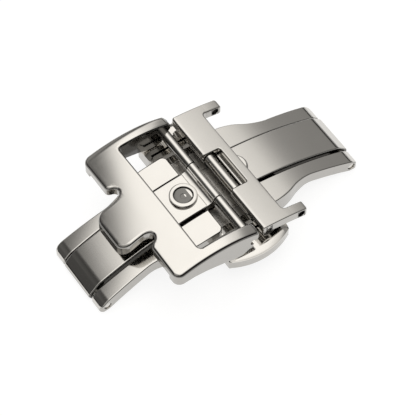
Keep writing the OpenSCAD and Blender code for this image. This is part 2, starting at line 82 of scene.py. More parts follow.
def sloped_end(z, x, end, face, blend):
    """The height of a top face that runs smoothly into the 45 degree slope at the clasp's end."""
    slope = end + face - abs(x)
    near = max(blend - abs(z - slope), 0) / blend
    return min(z, slope) - near * near * blend / 4


# Modelling in millimetres

def both_sides(side):
    """A whole outline from its half at +Y."""
    return side + [(x, -y, r) for x, y, r in reversed(side)]


def all_corners(quarter, middle=0.0):
    """A whole outline from its quarter at +X and +Y, mirrored about a middle in X."""
    half = quarter + [(2 * middle - x, y, r) for x, y, r in reversed(quarter)]
    return half + [(2 * middle - x, -y, r) for x, y, r in half]


def flat_face(points, rounds=6):
    """One flat face from corners given as x, y and a rounding."""
    bm = bmesh.new()
    verts = [bm.verts.new((x, y, 0)) for x, y, r in points]
    bm.faces.new(verts)
    for v, (x, y, r) in zip(verts, points):
        if r:
            round_corner(bm, v, r, rounds)
    return bm


def round_corner(bm, corner, r, rounds):
    bmesh.ops.bevel(bm, geom=[corner], offset=r, offset_type="OFFSET", segments=rounds, profile=0.5,
                    affect="VERTICES", clamp_overlap=False, material=-1)


def thicken(bm, height):
    """Raises the flat face to a slab."""
    made = bmesh.ops.extrude_face_region(bm, geom=bm.faces[:])
    moved = [g for g in made["geom"] if isinstance(g, bmesh.types.BMVert)]
    bmesh.ops.translate(bm, vec=(0, 0, height), verts=moved)
    bmesh.ops.recalc_face_normals(bm, faces=bm.faces[:])
    return bm


def level_edges(bm, z, keep=None):
    """The sharp edges that lie at one height of a slab."""
    found = []
    for e in bm.edges:
        if any(abs(v.co.z - z) > SAME_LEVEL for v in e.verts) or e.calc_face_angle(0) < SHARP_ANGLE:
            continue
        middle = (e.verts[0].co + e.verts[1].co) / 2
        if keep is None or keep(middle):
            found.append(e)
    return found


def soften(bm, edges, width, steps=3, clamp=False):
    """Rounds edges off."""
    bmesh.ops.bevel(bm, geom=edges, offset=width, offset_type="OFFSET", segments=steps, profile=0.5,
                    affect="EDGES", clamp_overlap=clamp, material=-1)


def cut(bm, place, normal, clear=False):
    """Cuts all faces along a plane, and may throw away what lies past it."""
    made = bmesh.ops.bisect_plane(bm, geom=bm.verts[:] + bm.edges[:] + bm.faces[:], dist=SAME_LEVEL,
                                  plane_co=place, plane_no=normal, clear_outer=clear)
    if clear:
        rim = [g for g in made["geom_cut"] if isinstance(g, bmesh.types.BMEdge)]
        bmesh.ops.holes_fill(bm, edges=rim)


def slices(bm, places, axis=0):
    """Cuts the whole shape into strips, so that it can follow a curve."""
    for p in places:
        place, normal = [0, 0, 0], [0, 0, 0]
        place[axis], normal[axis] = p, 1
        cut(bm, place, normal)


def steps_between(a, b, step):
    n = max(1, round(abs(b - a) / step))
    return [a + (b - a) * i / n for i in range(n + 1)]


def sink(bm, inside, level, depth):
    """Pushes the part of a level face that is inside a region down."""
    faces = [f for f in bm.faces if all(abs(v.co.z - level) < SAME_LEVEL for v in f.verts)
             and inside(f.calc_center_median())]
    edges = list({e for f in faces for e in f.edges})
    made = bmesh.ops.extrude_face_region(bm, geom=faces + edges)
    moved = [g for g in made["geom"] if isinstance(g, bmesh.types.BMVert)]
    bmesh.ops.translate(bm, vec=(0, 0, -depth), verts=moved)


def shape(bm, move):
    """Moves every point of the slab to its place on the real curved piece."""
    for v in bm.verts:
        v.co = move(v.co)


def round_bar(bm, at, r, y0, y1, sides, edge):
    """Adds a round bar along Y, with softened ends where an edge is given."""
    place = Matrix.Translation((at[0], (y0 + y1) / 2, at[1])) @ Matrix.Rotation(math.radians(90), 4, "X")
    made = bmesh.ops.create_cone(bm, cap_ends=True, segments=sides, radius1=r, radius2=r, depth=y1 - y0,
                                 matrix=place)
    if edge:
        ends = {e for v in made["verts"] for e in v.link_edges
                if abs(e.verts[0].co.y - e.verts[1].co.y) < 1e-6}
        soften(bm, list(ends), edge, 2)


def side_shape(points, half, edge):
    """A piece cut from an X-Z side view, as wide as 2 x half, with softened sides."""
    bm = thicken(flat_face(points, 5), 2 * half)
    soften(bm, level_edges(bm, 0) + level_edges(bm, 2 * half), edge)
    shape(bm, lambda p: Vector((p.x, half - p.z, p.y)))
    bmesh.ops.recalc_face_normals(bm, faces=bm.faces[:])
    return bm


def join(target, other):
    """Adds another shape to a shape."""
    spare = bpy.data.meshes.new("spare")
    other.to_mesh(spare)
    other.free()
    target.from_mesh(spare)
    bpy.data.meshes.remove(spare)


def carved(bm, tools):
    """Takes other shapes away from a shape."""
    body_mesh = bpy.data.meshes.new("carved")
    bm.to_mesh(body_mesh)
    bm.free()
    body = bpy.data.objects.new("carved", body_mesh)
    bpy.context.scene.collection.objects.link(body)
    cutters = []
    for tool in tools:
        bmesh.ops.recalc_face_normals(tool, faces=tool.faces[:])
        mesh = bpy.data.meshes.new("cutter")
        tool.to_mesh(mesh)
        tool.free()
        cutter = bpy.data.objects.new("cutter", mesh)
        bpy.context.scene.collection.objects.link(cutter)
        cutters.append(cutter)
        boolean = body.modifiers.new("cut", "BOOLEAN")
        boolean.operation = "DIFFERENCE"
        boolean.solver = "EXACT"
        boolean.use_self = True
        boolean.object = cutter
    graph = bpy.context.evaluated_depsgraph_get()
    result = bmesh.new()
    result.from_object(body, graph)
    for cutter in cutters:
        bpy.data.objects.remove(cutter)
    bpy.data.objects.remove(body)
    return result


def drilled(bm, holes):
    """Drills round holes along Y, each given as its place in X-Z, radius and reach."""
    drills = []
    for at, r, y0, y1 in holes:
        drill = bmesh.new()
        round_bar(drill, at, r, y0, y1, 48, 0)
        drills.append(drill)
    return carved(bm, drills)


def box(low, high):
    bm = bmesh.new()
    bmesh.ops.create_cube(bm, size=1)
    bmesh.ops.scale(bm, vec=[b - a for a, b in zip(low, high)], verts=bm.verts[:])
    bmesh.ops.translate(bm, vec=[(a + b) / 2 for a, b in zip(low, high)], verts=bm.verts[:])
    return bm


def mirrored(bm):
    """The same shape on the -Y side."""
    bmesh.ops.scale(bm, vec=(1, -1, 1), verts=bm.verts[:])
    bmesh.ops.reverse_faces(bm, faces=bm.faces[:])
    return bm


# No painted shade on any face
def no_painted_shade(place, way):
    return 0


def even_normals(bm):
    """Shading normals that keep broad faces true and run the small edge faces into them."""
    bm.faces.ensure_lookup_table()
    bm.faces.index_update()
    pulls = [f.normal * f.calc_area() for f in bm.faces]
    limit = math.cos(math.radians(38))
    normals = []
    for f in bm.faces:
        for corner in f.loops:
            total = Vector((0, 0, 0))
            for other in corner.vert.link_faces:
                if other.normal.dot(f.normal) > limit:
                    total = total + pulls[other.index]
            normals.append(total.normalized())
    return normals


def piece(name, bm, body, nodes, material, painted_shade=no_painted_shade):
    """Turns a shape into an object that rides on a body and stands for its solids."""
    bmesh.ops.remove_doubles(bm, verts=bm.verts[:], dist=1e-4)
    bmesh.ops.recalc_face_normals(bm, faces=bm.faces[:])
    bm.normal_update()
    # Painted shade: each face stores how far its colour is painted darker, from where the face lies and how
    # it faces
    shade_layer = bm.faces.layers.float.new("painted_shade_level")
    for f in bm.faces:
        f[shade_layer] = painted_shade(f.calc_center_median(), f.normal)
    normals = even_normals(bm)
    bmesh.ops.scale(bm, vec=(MM, MM, MM), verts=bm.verts[:])
    for f in bm.faces:
        f.smooth = True
    mesh = bpy.data.meshes.new(name)
    bm.to_mesh(mesh)
    bm.free()
    mesh.normals_split_custom_set(normals)
    mesh.materials.append(material)
    obj = bpy.data.objects.new(name, mesh)
    bpy.context.scene.collection.objects.link(obj)
    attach(obj, body)
    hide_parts(*nodes)
    return obj


# Materials

class Socket:
    """A shader socket that takes part in Python expressions."""

    def __init__(self, maker, link):
        self.maker = maker
        self.link = link

    def _math(self, operation, a, b):
        return self.maker.node("ShaderNodeMath", {"operation": operation}, {0: a, 1: b})

    def __add__(self, other):
        return self._math("ADD", self, other)

    def __radd__(self, other):
        return self._math("ADD", other, self)

    def __sub__(self, other):
        return self._math("SUBTRACT", self, other)

    def __rsub__(self, other):
        return self._math("SUBTRACT", other, self)

    def __mul__(self, other):
        return self._math("MULTIPLY", self, other)

    def __rmul__(self, other):
        return self._math("MULTIPLY", other, self)


class Maker:
    """Builds the nodes of one material or world."""

    def __init__(self, tree):
        self.tree = tree
        tree.nodes.clear()

    def node(self, kind, settings=None, inputs=None, output=0):
        made = self.tree.nodes.new(kind)
        for key, value in (settings or {}).items():
            if key == "stops":
                ramp = made.color_ramp
                while len(ramp.elements) > 1:
                    ramp.elements.remove(ramp.elements[-1])
                for i, (place, colour) in enumerate(value):
                    stop = ramp.elements[0] if i == 0 else ramp.elements.new(place)
                    stop.position = place
                    stop.color = colour
            else:
                setattr(made, key, value)
        for key, value in (inputs or {}).items():
            if isinstance(value, Socket):
                self.tree.links.new(value.link, made.inputs[key])
            else:
                made.inputs[key].default_value = value
        return Socket(self, made.outputs[output]) if made.outputs else None


# Sockets of a Mix node that mixes colours
MIX_FROM, MIX_TO, MIX_RESULT = 6, 7, 2

# Polish: how much the sheen wanders, how dark the painted shade is and how deep the wear lines are
HAZE = 0.03
PAINTED_SHADE_DARKEST = 0.2
WEAR_DEPTH = 0.00001


def grey(value):
    return (value, value, value, 1)


def tinted(colour, share):
    return tuple(min(1, c * share) for c in colour) + (1,)


def steel(name, colour, roughness, grain=0.0):
    """Stainless steel: a polish with slow changes of sheen, hair-fine wear lines and faint handling marks,
    with painted shade darkening the colour where a face's shade level asks for it.
    """
    material = bpy.data.materials.new(name)
    material.use_nodes = True
    make = Maker(material.node_tree)
    place = make.node("ShaderNodeTexCoord", output="Object")
    in_mm = make.node("ShaderNodeMapping", None, {0: place, "Scale": (1000, 1000, 1000)})
    along = make.node("ShaderNodeMapping", None, {0: place, "Scale": (300, 9000, 9000)})
    cloud = make.node("ShaderNodeTexNoise", None, {"Vector": in_mm, "Scale": 0.35, "Detail": 3.0})
    speck = make.node("ShaderNodeTexNoise", None, {
        "Vector": in_mm, "Scale": 5.0, "Detail": 5.0, "Roughness": 0.65})
    hairs = make.node("ShaderNodeTexNoise", None, {"Vector": along, "Scale": 1.0, "Detail": 4.0})
    sheen = roughness + (cloud - 0.5) * HAZE + (speck - 0.5) * HAZE + (hairs - 0.5) * grain
    tone = make.node("ShaderNodeMix", {"data_type": "RGBA"}, {
        "Factor": cloud * 0.6 + speck * 0.4,
        MIX_FROM: tinted(colour, 0.95), MIX_TO: tinted(colour, 1.05)}, output=MIX_RESULT)
    # Painted shade: the face's stored shade level mixes the colour down towards its darkest painted tone
    edge = make.node("ShaderNodeAttribute", {"attribute_name": "painted_shade_level"}, output="Fac")
    tone = make.node("ShaderNodeMix", {"data_type": "RGBA"}, {
        "Factor": edge, MIX_FROM: tone, MIX_TO: tinted(colour, PAINTED_SHADE_DARKEST)}, output=MIX_RESULT)
    bump = make.node("ShaderNodeBump", None, {
        "Strength": 0.02 + grain * 0.2, "Distance": WEAR_DEPTH, "Height": hairs * 0.6 + speck * 0.4})
    shader = make.node("ShaderNodeBsdfPrincipled", None, {
        "Base Color": tone, "Metallic": 1.0, "Roughness": sheen, "Normal": bump})
    make.node("ShaderNodeOutputMaterial", None, {"Surface": shader})
    return material


polished = steel("polished_steel", (0.66, 0.64, 0.605), 0.11)
satin = steel("satin_steel", (0.5, 0.485, 0.46), 0.3, grain=0.2)
wire = steel("spring_wire", (0.42, 0.41, 0.39), 0.25, grain=0.1)


# Base frame: two rails on each side of the slots, a block in the middle and a channel across it

RAIL_HALF, WAIST_HALF, BLOCK_HALF = 5.55, 5.25, 6.9
WAIST_X, BLOCK_X = 12.6, 5.6
WAIST_SLOPE, WAIST_R = math.radians(24), 1.6
BLOCK_DEPTH = 3.3
SLOT_IN, BED_IN = 8.5, 9.0
MOUTH_Y, MOUTH_R = 6.1, 0.8
LEDGE_HALF, LEDGE_DEPTH = 5.88, 0.35
POCKET_HALF, POCKET_DROP = 5.2, 0.53
STEM_HOLE_R = 0.43
SEAT_R, SEAT_IN, SEAT_OUT = 0.7, 5.95, 8.05
DRILL_REACH = 8

# Marks in the slab for the floors of the blades' bed, the channel, the ledge in it and the pocket
BED, CHANNEL, LEDGE, POCKET = 9, 8, 7, 6


def channel_tool():
    """The channel across the block, with its mouths rounded off at the sides."""
    side = MECH_X + CHANNEL_HALF
    turns = [math.radians(a) for a in range(0, 91, 15)]
    mouth = [(side + MOUTH_R * (1 - math.cos(a)), MOUTH_Y + MOUTH_R * math.sin(a), 0) for a in turns]
    past = (side + MOUTH_R, BLOCK_HALF + 1.1, 0)
    bm = thicken(flat_face(all_corners(mouth + [past], MECH_X)), SLAB + 1 - CHANNEL)
    bmesh.ops.translate(bm, vec=(0, 0, CHANNEL), verts=bm.verts[:])
    return bm


def base_shape():
    inset = (WAIST_X - BLOCK_X - (BLOCK_HALF - WAIST_HALF) / math.tan(WAIST_SLOPE)) / 2
    outline = all_corners([
        (SLOT_IN, SLOT_HALF, 0.3), (RAIL_END, SLOT_HALF, 0.25), (RAIL_END, RAIL_HALF, 0.6),
        (WAIST_X + 0.02, WAIST_HALF, 0), (WAIST_X - inset, WAIST_HALF, WAIST_R),
        (BLOCK_X + inset, BLOCK_HALF, WAIST_R)])
    left, right = MECH_X - CHANNEL_HALF, MECH_X + CHANNEL_HALF
    bm = carved(thicken(flat_face(outline, 8), SLAB), [
        box((-BED_IN, -SLOT_HALF, BED), (BED_IN, SLOT_HALF, SLAB + 1)),
        channel_tool(),
        box((left + 0.02, -LEDGE_HALF, LEDGE), (right - 0.02, LEDGE_HALF, BED)),
        box((left + 0.05, -POCKET_HALF, POCKET), (right - 0.05, POCKET_HALF, BED))])
    soften(bm, level_edges(bm, SLAB), 0.2, 4)
    soften(bm, level_edges(bm, 0), 0.15)
    ends = steps_between(18.7, 19.95, 0.1)
    slices(bm, steps_between(-18.6, 18.6, 0.3) + ends + [-x for x in ends])

    def move(p):
        level = round(p.z)
        if level >= SLAB:
            z = sloped_end(arch(RAIL_R, p.x), p.x, RAIL_END, RAIL_FACE, RAIL_BLEND)
        elif level >= BED:
            z = arch(BLADE_IN_R - RUN_GAP, p.x)
        elif level >= CHANNEL:
            z = CHANNEL_Z
        elif level >= LEDGE:
            z = CHANNEL_Z - LEDGE_DEPTH
        elif level >= POCKET:
            z = AXIS_Z - POCKET_DROP
        else:
            z = max(0, min(CROWN - BLOCK_DEPTH, arch(RAIL_IN_R, p.x)))
            level = 0
        return Vector((p.x, p.y, z + p.z - level))

    shape(bm, move)
    holes = [((s * PIN_X, PIN_Z), PIN_HOLE_R, -DRILL_REACH, DRILL_REACH) for s in (-1, 1)]
    holes = holes + [((MECH_X, AXIS_Z), STEM_HOLE_R, -DRILL_REACH, DRILL_REACH)]
    holes = holes + [((MECH_X, AXIS_Z), SEAT_R, *sorted((s * SEAT_IN, s * SEAT_OUT))) for s in (-1, 1)]
    return drilled(bm, holes)


def end_pin_shape(s):
    bm = bmesh.new()
    round_bar(bm, (s * PIN_X, PIN_Z), PIN_R, -PIN_HALF, PIN_HALF, 48, 0.1)
    return bm


# Wings: an arched blade that thickens round the end pin and slopes off at its outer end

LEFT_IN, RIGHT_IN = 2.05, 3.2
EYE_R, EYE_START = 1.2, 17.72
WEB_Z = CHANNEL_Z + 0.58
WEB_HALF = BLADE_HALF - 0.01
WING_DRILL = 4


def blade_shape(x_in):
    outline = [(x_in, -BLADE_HALF, 0.2), (WING_END, -BLADE_HALF, 0.25), (WING_END, BLADE_HALF, 0.25),
               (x_in, BLADE_HALF, 0.2)]
    bm = thicken(flat_face(outline, 4), SLAB)
    soften(bm, level_edges(bm, SLAB), 0.2, 4)
    soften(bm, level_edges(bm, 0), 0.12)
    slices(bm, steps_between(x_in + 0.3, 17.0, 0.3))
    slices(bm, steps_between(17.15, 18.5, 0.15) + steps_between(18.6, 20.1, 0.1))

    def move(p):
        if p.z > SLAB / 2:
            z = sloped_end(arch(BLADE_R, p.x), p.x, WING_END, WING_FACE, WING_BLEND) - SLAB
        else:
            z = arch(BLADE_IN_R, p.x)
            if p.x > EYE_START:
                z = max(0, min(z, PIN_Z - math.sqrt(max(0, EYE_R ** 2 - (p.x - PIN_X) ** 2))))
        return Vector((p.x, p.y, z + p.z))

    shape(bm, move)
    return bm


def left_wing_shape():
    bm = blade_shape(LEFT_IN)
    bmesh.ops.mirror(bm, geom=bm.verts[:] + bm.edges[:] + bm.faces[:], axis="X", merge_dist=-1)
    bmesh.ops.delete(bm, geom=[f for f in bm.faces if f.calc_center_median().x > 0], context="FACES")
    bmesh.ops.delete(bm, geom=[v for v in bm.verts if not v.link_faces], context="VERTS")
    rod_x, rod_z = COVER_ROD
    top = arch(BLADE_R, LEFT_IN)
    web = side_shape([
        (-2.5, arch(BLADE_IN_R, 2.4), 0), (-1.95, WEB_Z, 0.1), (rod_x, WEB_Z, 0.1),
        (rod_x + 0.5, rod_z - 0.5, 0.2), (rod_x + 0.1, rod_z + 0.1, 0), (rod_x - 0.66, rod_z + 0.12, 0.02),
        (rod_x - 0.85, rod_z - 0.14, 0.12), (-1.75, top + 0.02, 0.35), (-2.3, top - 0.06, 0.15)],
        WEB_HALF, BARREL_EDGE)
    join(bm, web)
    round_bar(bm, COVER_ROD, BARREL_R, -BLADE_HALF, BLADE_HALF, 64, BARREL_EDGE)
    return drilled(bm, [((-PIN_X, PIN_Z), PIN_HOLE_R, -WING_DRILL, WING_DRILL),
                        (COVER_ROD, ROD_HOLE_R, -WING_DRILL, WING_DRILL)])


def right_wing_shape():
    bm = blade_shape(RIGHT_IN)
    rod_x, rod_z = LUG_ROD
    web = side_shape([
        (3.6, arch(BLADE_IN_R, 3.6), 0), (3.1, WEB_Z, 0.1), (rod_x + 0.05, WEB_Z, 0.1),
        (rod_x - 0.35, rod_z - 0.55, 0.15), (rod_x, rod_z, 0), (rod_x + 0.5, rod_z - 0.3, 0.05),
        (3.1, rod_z - 0.75, 0.1), (3.25, arch(BLADE_R, RIGHT_IN) - 0.2, 0.1),
        (3.5, arch(BLADE_R, 3.5) - 0.03, 0)], WEB_HALF, BARREL_EDGE)
    join(bm, web)
    round_bar(bm, LUG_ROD, BARREL_R, -BLADE_HALF, BLADE_HALF, 64, BARREL_EDGE)
    return drilled(bm, [((PIN_X, PIN_Z), PIN_HOLE_R, -WING_DRILL, WING_DRILL),
                        (LUG_ROD, ROD_HOLE_R, -WING_DRILL, WING_DRILL)])


# Strap stud: turned, with a rim, a dish and a small centre hole

STUD_H = 0.4

# Radius and depth under the rim, from the shank's end to the middle of the hole
STUD_PROFILE = [(1.0, 1.45), (1.0, 0.53), (1.78, 0.53), (1.85, 0.46), (1.85, 0.16), (1.81, 0.06), (1.72, 0),
                (1.36, 0), (1.3, 0.04), (1.26, 0.12), (1.22, 0.28), (1.14, 0.34), (0.8, 0.34), (0.42, 0.34),
                (0.38, 0.38), (0.2, 0.385), (0.001, 0.385)]


def stud_shape():
    top = arch(BLADE_R, STUD_X) + STUD_H
    bm = bmesh.new()
    verts = [bm.verts.new((STUD_X + r, 0, top - depth)) for r, depth in STUD_PROFILE]
    line = [bm.edges.new(pair) for pair in zip(verts, verts[1:])]
    bmesh.ops.spin(bm, geom=verts + line, cent=(STUD_X, 0, 0), axis=(0, 0, 1), angle=math.radians(360),
                   steps=96, use_merge=True)
    bmesh.ops.remove_doubles(bm, verts=bm.verts[:], dist=0.002)
    bmesh.ops.holes_fill(bm, edges=[e for e in bm.edges if e.is_boundary])
    return bm


# Cover frame: the strap bar with a plain tongue, and the two side rails

COVER_R, CROWN_X, CROWN_Z = 20.0, -5.5, 9.3
COVER_T = 1.3
COVER_HALF, COVER_IN = 10.95, 9.23
COVER_END = COVER_ROD[0] + 1.1
END_R = 1.0
END_X = COVER_END - END_R
END_Z = CROWN_Z - COVER_R + math.sqrt((COVER_R - END_R) ** 2 - (END_X - CROWN_X) ** 2)

# Half of the outline, as corners with their roundings: tongue, shoulder, rail and window
COVER_SIDE = [(-15.2, 3.2, 1.5), (-11.75, 3.2, 0.3), (-11.0, 3.6, 0.35), (-11.0, 4.5, 0.45),
              (-12.1, 5.1, 0.45), (-12.1, COVER_HALF, 1.1), (COVER_END - 0.02, COVER_HALF, 0.5),
              (COVER_END - 0.02, COVER_IN, 0.32), (-7.6, COVER_IN, 0.5)]

# Lower edge of the side rails, as X and height
SKIRT = [(-16, 5.6), (-12.6, 6.12), (-9.5, 6.34), (-7.7, 6.16), (-6.2, 5.84), (-4.7, 5.5), (-3.5, 5.1),
         (-2.8, 4.98), (-1.2, 4.98), (-0.95, 5.4), (-0.55, 5.58), (1, 5.6)]

# Polish of the bar: raised a little in the middle, lower at the sides, with a lifted tongue
POLISH_RISE = 0.12
SIDE_DROP, SIDE_RUN = 0.2, 0.9
TONGUE_LIFT, TONGUE_X = 0.012, -11
END_DROP, END_DROP_X = 0.009, -4


def cover_arc(r, x):
    return CROWN_Z - COVER_R + math.sqrt(r ** 2 - (x - CROWN_X) ** 2)


def cover_top(x):
    tangent = END_X + END_R * (END_X - CROWN_X) / (COVER_R - END_R)
    if x > tangent:
        return END_Z + math.sqrt(max(0, END_R ** 2 - (x - END_X) ** 2))
    return cover_arc(COVER_R, x) + TONGUE_LIFT * max(0, TONGUE_X - x) ** 2


def skirt_z(x):
    for (x0, z0), (x1, z1) in zip(SKIRT, SKIRT[1:]):
        if x <= x1:
            z = z0 + (z1 - z0) * (x - x0) / (x1 - x0)
            break
    if x > END_X:
        z = max(z, END_Z - math.sqrt(max(0, END_R ** 2 - (x - END_X) ** 2)))
    return z


def cover_shape():
    bm = thicken(flat_face(both_sides(COVER_SIDE), 8), SLAB)
    slices(bm, (-COVER_IN, COVER_IN), 1)
    sink(bm, lambda p: abs(p.y) > COVER_IN, 0, SLAB)
    soften(bm, level_edges(bm, SLAB), 0.36, 5)
    soften(bm, level_edges(bm, 0, lambda p: abs(p.y) < COVER_IN - 0.01), 0.15)
    soften(bm, level_edges(bm, -SLAB), 0.12)
    slices(bm, steps_between(-15, -0.4, 0.35) + steps_between(-0.32, COVER_END - 0.06, 0.08))
    slices(bm, [s * (COVER_HALF - d) for s in (-1, 1) for d in (0.3, 0.45, 0.6, 0.75, SIDE_RUN)]
           + steps_between(-9.9, 9.9, 0.9), 1)

    def move(p):
        if p.z > SLAB / 2:
            near = max(0, abs(p.y) - COVER_HALF + SIDE_RUN) / SIDE_RUN
            crown = POLISH_RISE - 0.0021 * p.y ** 2 - 0.0006 * max(0, p.y - 3) ** 2
            drop = SIDE_DROP * near * near + END_DROP * max(0, p.x - END_DROP_X) ** 2
            z = cover_top(p.x) + crown - drop - SLAB
        elif p.z > -SLAB / 2:
            z = cover_arc(COVER_R - COVER_T, p.x)
        else:
            z = skirt_z(p.x) + SLAB
        return Vector((p.x, p.y, z + p.z))

    shape(bm, move)
    bm = drilled(bm, [(COVER_ROD, ROD_HOLE_R, -11.2, -10.35)])
    for s in (-1, 1):
        y0, y1 = sorted((s * KNUCKLE_HALF, s * (COVER_IN + 0.2)))
        round_bar(bm, COVER_ROD, BARREL_R, y0, y1, 64, BARREL_EDGE)
    return bm


# Lug plate: two ears for the spring bar, a notch for the wing's knuckle and a rest boss

LUG_R, LUG_SLOPE, LUG_RISE = 38.0, math.radians(5), 1.02
LUG_CX = LUG_ROD[0] - LUG_R * math.sin(LUG_SLOPE)
LUG_CZ = LUG_ROD[1] + LUG_RISE - LUG_R * math.cos(LUG_SLOPE)
LUG_LEFT, LUG_RIGHT, NOTCH_X = LUG_ROD[0] - 0.9, LUG_ROD[0] + 3.05, LUG_ROD[0] + 1.7
LUG_T = 1.45
LUG_DROP, LUG_DROP_RUN = 0.16, 0.45
BAR_X = LUG_ROD[0] + 5.05
BAR_Z = LUG_CZ + math.sqrt((LUG_R - LUG_T / 2) ** 2 - (BAR_X - LUG_CX) ** 2)
BAR_HOLE_R, END_HOLE_R = 0.5, 0.43
EAR_END, EAR_R = BAR_X + 1.0, 0.45
EAR_IN, LUG_HALF = 9.0, 10.4
BOSS_X, BOSS_R, BOSS_TOP = LUG_ROD[0] + 1.89, 1.76, CROWN + 0.83
BLOCK_CLEAR, BLOCK_CLEAR_HALF = 0.12, 7.05


def lug_arc(r, x):
    return LUG_CZ + math.sqrt(r ** 2 - (x - LUG_CX) ** 2)


def ear_face(x, upper):
    """Height of the plate's upper or lower face, rounded off at the ears' tips."""
    run = LUG_R - EAR_R if upper else LUG_R - LUG_T + EAR_R
    way = 1 if upper else -1
    middle = EAR_END - EAR_R
    if x > middle + way * EAR_R * (middle - LUG_CX) / run:
        return lug_arc(run, middle) + way * math.sqrt(max(0, EAR_R ** 2 - (x - middle) ** 2))
    return lug_arc(LUG_R if upper else LUG_R - LUG_T, x)


def lug_shape():
    tip = EAR_END - 0.02
    outline = both_sides([
        (NOTCH_X, KNUCKLE_HALF, 0.25), (LUG_LEFT, KNUCKLE_HALF, 0.4), (LUG_LEFT, LUG_HALF, 0.35),
        (tip, LUG_HALF, 0.4), (tip, EAR_IN, 0.25), (LUG_RIGHT, EAR_IN, 0.5)])
    bm = thicken(flat_face(outline), SLAB)
    soften(bm, level_edges(bm, SLAB), 0.2, 4)
    soften(bm, level_edges(bm, 0), 0.12, 2)
    slices(bm, [LUG_LEFT + d for d in (0.21, 0.28, 0.36, LUG_DROP_RUN)])
    slices(bm, steps_between(LUG_LEFT + 0.7, 7.4, 0.4) + [7.6, 7.74, 7.84, 7.92, 7.99, 8.05, 8.1, 8.14])
    slices(bm, [-BLOCK_CLEAR_HALF, BLOCK_CLEAR_HALF, 0.01 - BLOCK_CLEAR_HALF, BLOCK_CLEAR_HALF - 0.01], 1)

    def move(p):
        if p.z > SLAB / 2:
            near = max(0, LUG_DROP_RUN - (p.x - LUG_LEFT)) / LUG_DROP_RUN
            z = ear_face(p.x, True) - LUG_DROP * near * near - SLAB
        else:
            z = ear_face(p.x, False)
            if abs(p.y) < BLOCK_CLEAR_HALF:
                z = max(z, CROWN + BLOCK_CLEAR, arch(BLADE_R + RUN_GAP, p.x))
        return Vector((p.x, p.y, z + p.z))

    shape(bm, move)
    left, (x, z) = LUG_LEFT, LUG_ROD
    for s in (-1, 1):
        y0, y1 = sorted((s * (KNUCKLE_HALF + 0.02), s * (LUG_HALF - 0.02)))
        barrel = side_shape([
            (left + 0.02, z - 0.2, 0.1), (left + 0.25, z - 0.85, 0.3), (x, z - 1.04, 0.3),
            (x + 0.8, z - 0.6, 0.3), (x + 1.0, z + 0.3, 0), (left + 0.05, z + 0.3, 0)],
            (y1 - y0) / 2, BARREL_EDGE)
        bmesh.ops.translate(barrel, vec=(0, (y0 + y1) / 2, 0), verts=barrel.verts[:])
        join(bm, barrel)
    boss = bmesh.new()
    bmesh.ops.create_cone(boss, cap_ends=True, segments=128, radius1=BOSS_R, radius2=BOSS_R, depth=1,
                          matrix=Matrix.Translation((BOSS_X, 0, BOSS_TOP - 0.5)))
    cut(boss, (LUG_RIGHT - 0.8, 0, 0), (-1, 0, 0), True)
    soften(boss, level_edges(boss, BOSS_TOP), 0.3, 4)
    shape(boss, lambda p: Vector((p.x, p.y, max(p.z, arch(BLADE_R + RUN_GAP, p.x)))))
    join(bm, boss)
    return drilled(bm, [((BAR_X, BAR_Z), BAR_HOLE_R, -11, 11), (LUG_ROD, END_HOLE_R, -11, -10),
                        (LUG_ROD, END_HOLE_R, 10, 11)])


# Buttons: a crescent pad on a stem

PAD_OUT, PAD_IN, PAD_R, PAD_H, PAD_HALF = 11.75, 7.45, 9.0, 2.0, 4.6
PAD_RIM, PAD_DROP = 1.0, 0.6
PAD_CORNER_R, PAD_TIP_R, PAD_TIP_Y = 0.6, 0.22, 10.49
STEM_R, TIP_R = 0.4, 0.25


def button_shape():
    bm = bmesh.new()
    bmesh.ops.create_circle(bm, cap_ends=True, segments=240, radius=PAD_R,
                            matrix=Matrix.Translation((MECH_X, PAD_OUT - PAD_R, 0)))
    cut(bm, (0, PAD_IN, 0), (0, -1, 0), True)
    for s in (-1, 1):
        cut(bm, (MECH_X + s * PAD_HALF, 0, 0), (s, 0, 0), True)
    for s in (-1, 1):
        for y, r, rounds in ((PAD_IN, PAD_CORNER_R, 6), (PAD_TIP_Y, PAD_TIP_R, 4)):
            place = Vector((MECH_X + s * PAD_HALF, y))
            round_corner(bm, min(bm.verts, key=lambda v: (v.co.xy - place).length), r, rounds)
    bmesh.ops.inset_region(bm, faces=bm.faces[:], thickness=PAD_RIM, use_boundary=True, use_even_offset=True)
    thicken(bm, PAD_H)
    slices(bm, (8.5, 9.4, 9.9), 1)

    def slope(p):
        inward = PAD_R - math.hypot(p.x - MECH_X, p.y - PAD_OUT + PAD_R)
        return Vector((p.x, p.y, p.z - max(0, PAD_RIM - inward) * PAD_DROP if p.z > PAD_H / 2 else p.z))

    def outer_edge(e):
        highs = [v.co.z for v in e.verts]
        outs = [v.co.y for v in e.verts]
        return max(highs) > PAD_H - 0.7 and min(highs) > PAD_H / 2 and max(outs) > 10.6

    shape(bm, slope)
    soften(bm, [e for e in bm.edges if e.calc_face_angle(0) > SHARP_ANGLE and outer_edge(e)], 0.06, 2, True)
    soften(bm, level_edges(bm, 0, lambda p: p.y > 10.6), 0.1, 3, True)
    bmesh.ops.translate(bm, vec=(0, 0, AXIS_Z - PAD_H / 2), verts=bm.verts[:])
    round_bar(bm, (MECH_X, AXIS_Z), STEM_R, 4.9, PAD_IN + 0.3, 40, 0.04)
    round_bar(bm, (MECH_X, AXIS_Z), TIP_R, 4.28, 5.0, 32, 0.03)
    return bm


# Springs: wound wire round the buttons' stems, between the block's seat and the pad

SPRING_START, SPRING_END, SPRING_KEPT = 6.06, 7.43, 0.64
WIRE_R, COIL_R, COIL_TURNS, TURN_STEPS = 0.09, 0.56, 3.5, 28


